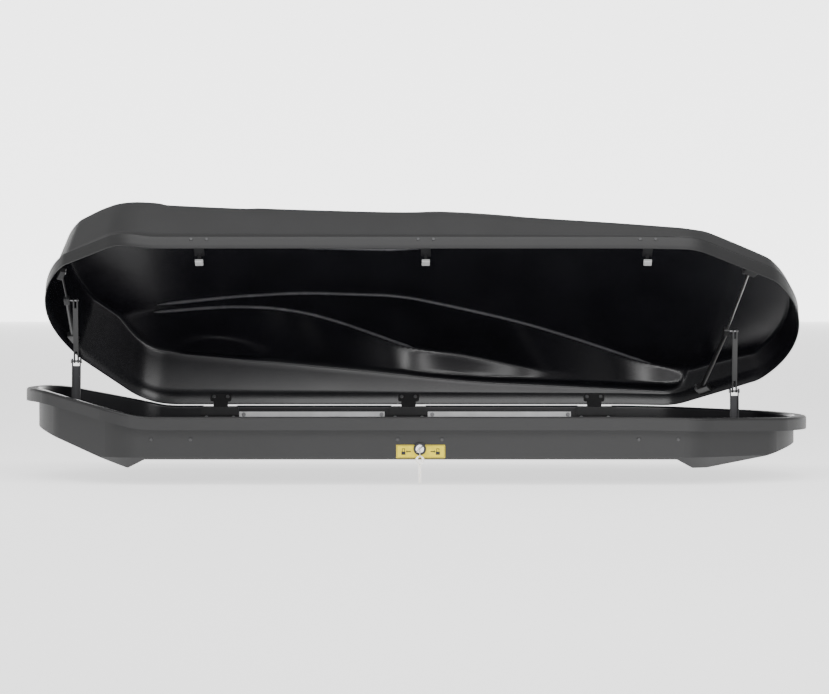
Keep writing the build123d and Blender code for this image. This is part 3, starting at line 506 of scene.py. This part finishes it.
def lidSheet(extra, wallSteps, roundSteps, roofSteps):
    # one face of the lid's sheet from above the ledge to the spine: a leaning wall, a rounded
    # shoulder as a quadratic curve, and the roof drawn in from the shoulder to the spine
    wallAt = lidWall(extra)
    start = rimLine(wallAt(np.full(len(ring(0.0)), rim["height"] + lid["skirt"]))[:, 0]) + lid["skirt"]
    start = start + (0.0 if extra == 0 else -lid["wall"])
    top = np.full(len(start), lid["topGuess"])
    for _ in range(lid["topRounds"]):
        edge = wallAt(top)
        top = 0.5 * (top + roofShape(edge[:, 0], edge[:, 1], extra))
    edge = wallAt(top)
    reach = (lid["roofRound"] - extra) * tan((pi / 2 - atan2(lid["lean"], 1.0)) / 2)
    reach = np.minimum(reach, lid["roundShare"] * (top - start))
    bottom = wallAt(top - reach * cos(atan2(lid["lean"], 1.0)))
    bottomZ = top - reach * cos(atan2(lid["lean"], 1.0))
    spine = np.stack([np.clip(edge[:, 0], *lid["spine"]), np.zeros(len(edge))], axis=1)
    across = spine - edge
    length = np.linalg.norm(across, axis=1)
    inner = edge + across * (reach / length)[:, None]
    innerZ = roofShape(inner[:, 0], inner[:, 1], extra)
    layers = []
    for step in np.linspace(0, 1, wallSteps):
        z = start + (bottomZ - start) * step
        layers.append(np.column_stack([wallAt(z), z]))
    first = np.column_stack([bottom, bottomZ])
    middle = np.column_stack([edge, top])
    last = np.column_stack([inner, innerZ])
    for step in np.linspace(0, 1, roundSteps + 1)[1:]:
        layers.append(first * (1 - step) ** 2 + middle * 2 * step * (1 - step) + last * step ** 2)
    for step in np.linspace(0, 1, roofSteps + 1)[1:]:
        place = inner + (spine - inner) * step
        z = roofShape(place[:, 0], place[:, 1], extra)
        layers.append(np.column_stack([place, z]))
    return layers


def gridFaces(layers, count):
    # quads between neighbouring closed rings
    index = np.arange(layers * count).reshape(layers, count)
    a = index[:-1]
    b = index[1:]
    quads = np.stack([a, np.roll(a, -1, axis=1), np.roll(b, -1, axis=1), b], axis=-1)
    return quads.reshape(-1, 4)


def meshObject(name, points, faces, materials, faceMaterials=None, smooth=True):
    # points in millimetres; doubled points are merged, so seams and poles are closed
    mesh = bpy.data.meshes.new(name)
    mesh.from_pydata((points * mm).tolist(), [], faces.tolist())
    if faceMaterials is not None:
        mesh.polygons.foreach_set("material_index", faceMaterials.astype(np.int32))
    work = bmesh.new()
    work.from_mesh(mesh)
    bmesh.ops.remove_doubles(work, verts=work.verts, dist=1e-6)
    bmesh.ops.dissolve_degenerate(work, edges=work.edges, dist=1e-7)
    bmesh.ops.recalc_face_normals(work, faces=work.faces)
    work.to_mesh(mesh)
    work.free()
    mesh.polygons.foreach_set("use_smooth", np.full(len(mesh.polygons), smooth))
    piece = bpy.data.objects.new(name, mesh)
    bpy.context.scene.collection.objects.link(piece)
    for material in materials:
        mesh.materials.append(material)
    return piece


def edgeLayer(inset, lift):
    outline = ring(inset, lid["tailShift"])
    return np.column_stack([outline, rimLine(outline[:, 0]) + lift])


def makeLid():
    gap = lid["gap"]
    skirt = lid["skirt"]
    r = lid["edgeRound"]
    outside = [edgeLayer(lid["inset"] + 1.0, gap), edgeLayer(lid["inset"] + 0.3, gap + 0.3),
               edgeLayer(lid["inset"], gap + 1.0)]
    outside += [edgeLayer(lid["inset"], gap + 1 + (skirt - r - gap - 1) * step) for step in (0.33, 0.66, 1.0)]
    for turn in np.linspace(0, pi / 2, 5)[1:]:
        outside.append(edgeLayer(lid["inset"] + r * (1 - cos(turn)), skirt - r + r * sin(turn)))
    outside += lidSheet(0.0, 8, 6, 84)
    inside = [edgeLayer(lid["inset"] + lid["wall"] - 1, gap), edgeLayer(lid["inset"] + lid["wall"], gap + 1)]
    inside += lidSheet(lid["wall"], 8, 6, 110)
    layers = inside[::-1] + outside
    count = len(layers[0])
    points = turnOpen(np.concatenate(layers))
    faces = gridFaces(len(layers), count)
    isOutside = np.repeat(np.arange(len(layers) - 1) >= len(inside) - 1, count)
    piece = meshObject("lid_sheet", points, faces, [looks["lidInside"], looks["lidOutside"]], isOutside)
    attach(piece, "lid")
    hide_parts("lid_shell")
    return piece


def tube(centres, radius, sides=10, swellRate=32):
    # round bead along a row of points, thinning to a point at both ends
    ahead = np.gradient(centres, axis=0)
    ahead /= np.linalg.norm(ahead, axis=1)[:, None]
    aside = np.cross(ahead, (0.0, 0.0, 1.0))
    aside /= np.linalg.norm(aside, axis=1)[:, None]
    above = np.cross(aside, ahead)
    along = np.linspace(0, 1, len(centres))
    swell = np.minimum(1, swellRate * along * (1 - along))
    turn = np.linspace(0, 2 * pi, sides + 1)[:-1]
    return [centre + radius * size * (np.outer(np.cos(turn), side) + np.outer(np.sin(turn), up))
            for centre, side, up, size in zip(centres, aside, above, swell)]


def makeBead(name, line, span, hand):
    # bead pressed into the sheet along one of the blades' lines, on the inner face; its grey finish is a painted
    # highlight, standing in for the bright line that the blade's step catches
    x = np.linspace(*span, relief["beadPoints"])
    y = hand * lineHeight(relief[line], x)
    z = roofShape(x, y, lid["wall"]) - relief["beadSink"] * relief["beadRadius"]
    layers = tube(np.column_stack([x, y, z]), relief["beadRadius"])
    piece = meshObject(name, turnOpen(np.concatenate(layers)), gridFaces(len(layers), len(layers[0])),
                       [looks["lidBeadHighlight"]])
    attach(piece, "lid")


lidPiece = makeLid()
for hand, side in ((1, "far"), (-1, "near")):
    makeBead(f"blade_bead_{side}", "blade", relief["bladeBead"], hand)
    makeBead(f"ribbon_bead_{side}", "ribbon", relief["ribbonBead"], hand)
print("lid sheet:", len(lidPiece.data.polygons), "faces")

# marks on the label, as outlines in millimetres from its middle: a border, a shut and an open
# padlock, and an arrow towards each
label = {"middle": (15.0, 20.0), "front": -351.2, "back": -350.6, "lockAt": 42, "arrowAt": 28.5}


def bar(left, low, right, high):
    return [(left, low), (right, low), (right, high), (left, high)]


labelMarks = [bar(-58, -14.5, 58, -13.6), bar(-58, 13.6, 58, 14.5), bar(-58, -13.6, -57.1, 13.6),
              bar(57.1, -13.6, 58, 13.6)]
for hand, lift in ((-1, 0.0), (1, 2.5)):
    lock = hand * label["lockAt"]
    arrow = hand * label["arrowAt"]
    labelMarks += [bar(lock - 5, -8, lock + 5, 0), bar(lock - 3.5, 0, lock - 2, 6),
                   bar(lock + 2, lift, lock + 3.5, 6), bar(lock - 3.5, 6, lock + 3.5, 7.5),
                   bar(arrow - 4.5, -1.2, arrow + 4.5, 1.2),
                   [(hand * 33, -3.5), (hand * 36, 0), (hand * 33, 3.5)]]


def makeLabelMarks():
    # each outline becomes a thin plate standing just proud of the label
    points = []
    faces = []
    for outline in labelMarks:
        count = len(outline)
        first = len(points)
        for depth in ("front", "back"):
            points += [(label["middle"][0] + u, label[depth], label["middle"][1] + v) for u, v in outline]
        faces.append(list(range(first, first + count)))
        faces.append(list(range(first + count, first + 2 * count)))
        faces += [[first + i, first + (i + 1) % count, first + count + (i + 1) % count, first + count + i]
                  for i in range(count)]
    mesh = bpy.data.meshes.new("label_marks")
    mesh.from_pydata((np.array(points) * mm).tolist(), [], faces)
    work = bmesh.new()
    work.from_mesh(mesh)
    bmesh.ops.recalc_face_normals(work, faces=work.faces)
    work.to_mesh(mesh)
    work.free()
    mesh.materials.append(looks["print"])
    piece = bpy.data.objects.new("label_marks", mesh)
    bpy.context.scene.collection.objects.link(piece)
    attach(piece, "base")


makeLabelMarks()
print("label marks:", len(labelMarks))


# stage, lights and camera
studio = {
    "eye": (0.0, -7.5, 0.407), "lens": 127.5, "pitch": 1.06,
    "floorGap": 0.004, "floorGlow": 1.3, "floorHalf": 30.0, "floorFront": -14.0,
    "paperAt": 40.0, "paperHigh": 9.0, "paperGlow": 2.6,
}


def stagePlane(name, corners, material):
    mesh = bpy.data.meshes.new(name)
    mesh.from_pydata(corners, [], [(0, 1, 2, 3)])
    mesh.materials.append(material)
    plane = bpy.data.objects.new(name, mesh)
    bpy.context.scene.collection.objects.link(plane)


def softbox(name, place, aim, size, power, shade=(1, 1, 1)):
    lamp = bpy.data.lights.new(name, "AREA")
    lamp.shape = "RECTANGLE"
    lamp.size, lamp.size_y = size
    lamp.energy = power
    lamp.color = shade
    holder = bpy.data.objects.new(name, lamp)
    holder.location = place
    holder.rotation_euler = (Vector(aim) - Vector(place)).to_track_quat("-Z", "Y").to_euler()
    bpy.context.scene.collection.objects.link(holder)


def makeStudio():
    # pale floor just under the box, and a sheet of the same tone far behind it
    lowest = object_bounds()[0][2] - studio["floorGap"]
    half = studio["floorHalf"]
    front = studio["floorFront"]
    away = studio["paperAt"]
    high = studio["paperHigh"]
    sheets = {"floor": (studio["floorGlow"], [(-half, front, lowest), (half, front, lowest),
                                              (half, away, lowest), (-half, away, lowest)]),
              "paper": (studio["paperGlow"], [(-half, away, lowest), (half, away, lowest),
                                              (half, away, high), (-half, away, high)])}
    for name, (glow, corners) in sheets.items():
        sheet = Finish(name + "Sheet")
        grain = sheet.noise(3.0)
        sheet.shade(Base_Color=sheet.ramp(grain, ((0.2, (0.86, 0.86, 0.86)), (0.8, (0.88, 0.88, 0.88)))),
                    Roughness=0.9, Emission_Color=(1.0, 1.0, 1.0, 1.0), Emission_Strength=glow)
        stagePlane(name, corners, sheet.material)
    world = bpy.data.worlds.new("studioWorld")
    world.use_nodes = True
    world.node_tree.nodes["Background"].inputs["Color"].default_value = (1, 1, 1, 1)
    world.node_tree.nodes["Background"].inputs["Strength"].default_value = 0.6
    bpy.context.scene.world = world
    softbox("overhead", (0.0, -0.9, 3.2), (0.0, 0.0, 0.2), (4.5, 1.6), 70.0)
    softbox("front", (0.6, -4.2, 2.2), (0.0, 0.0, 0.2), (3.0, 1.4), 60.0)
    softbox("frontLow", (0.9, -5.5, 0.1), (0.0, 0.0, 0.3), (2.4, 0.7), 45.0)


def makeCamera():
    camera = bpy.data.cameras.new("camera")
    camera.lens = studio["lens"]
    camera.sensor_width = 36.0
    camera.clip_end = 200.0
    holder = bpy.data.objects.new("camera", camera)
    holder.location = studio["eye"]
    holder.rotation_euler = (radians(90.0 - studio["pitch"]), 0.0, 0.0)
    bpy.context.scene.collection.objects.link(holder)
    bpy.context.scene.camera = holder


makeStudio()
makeCamera()
print("studio and camera set")
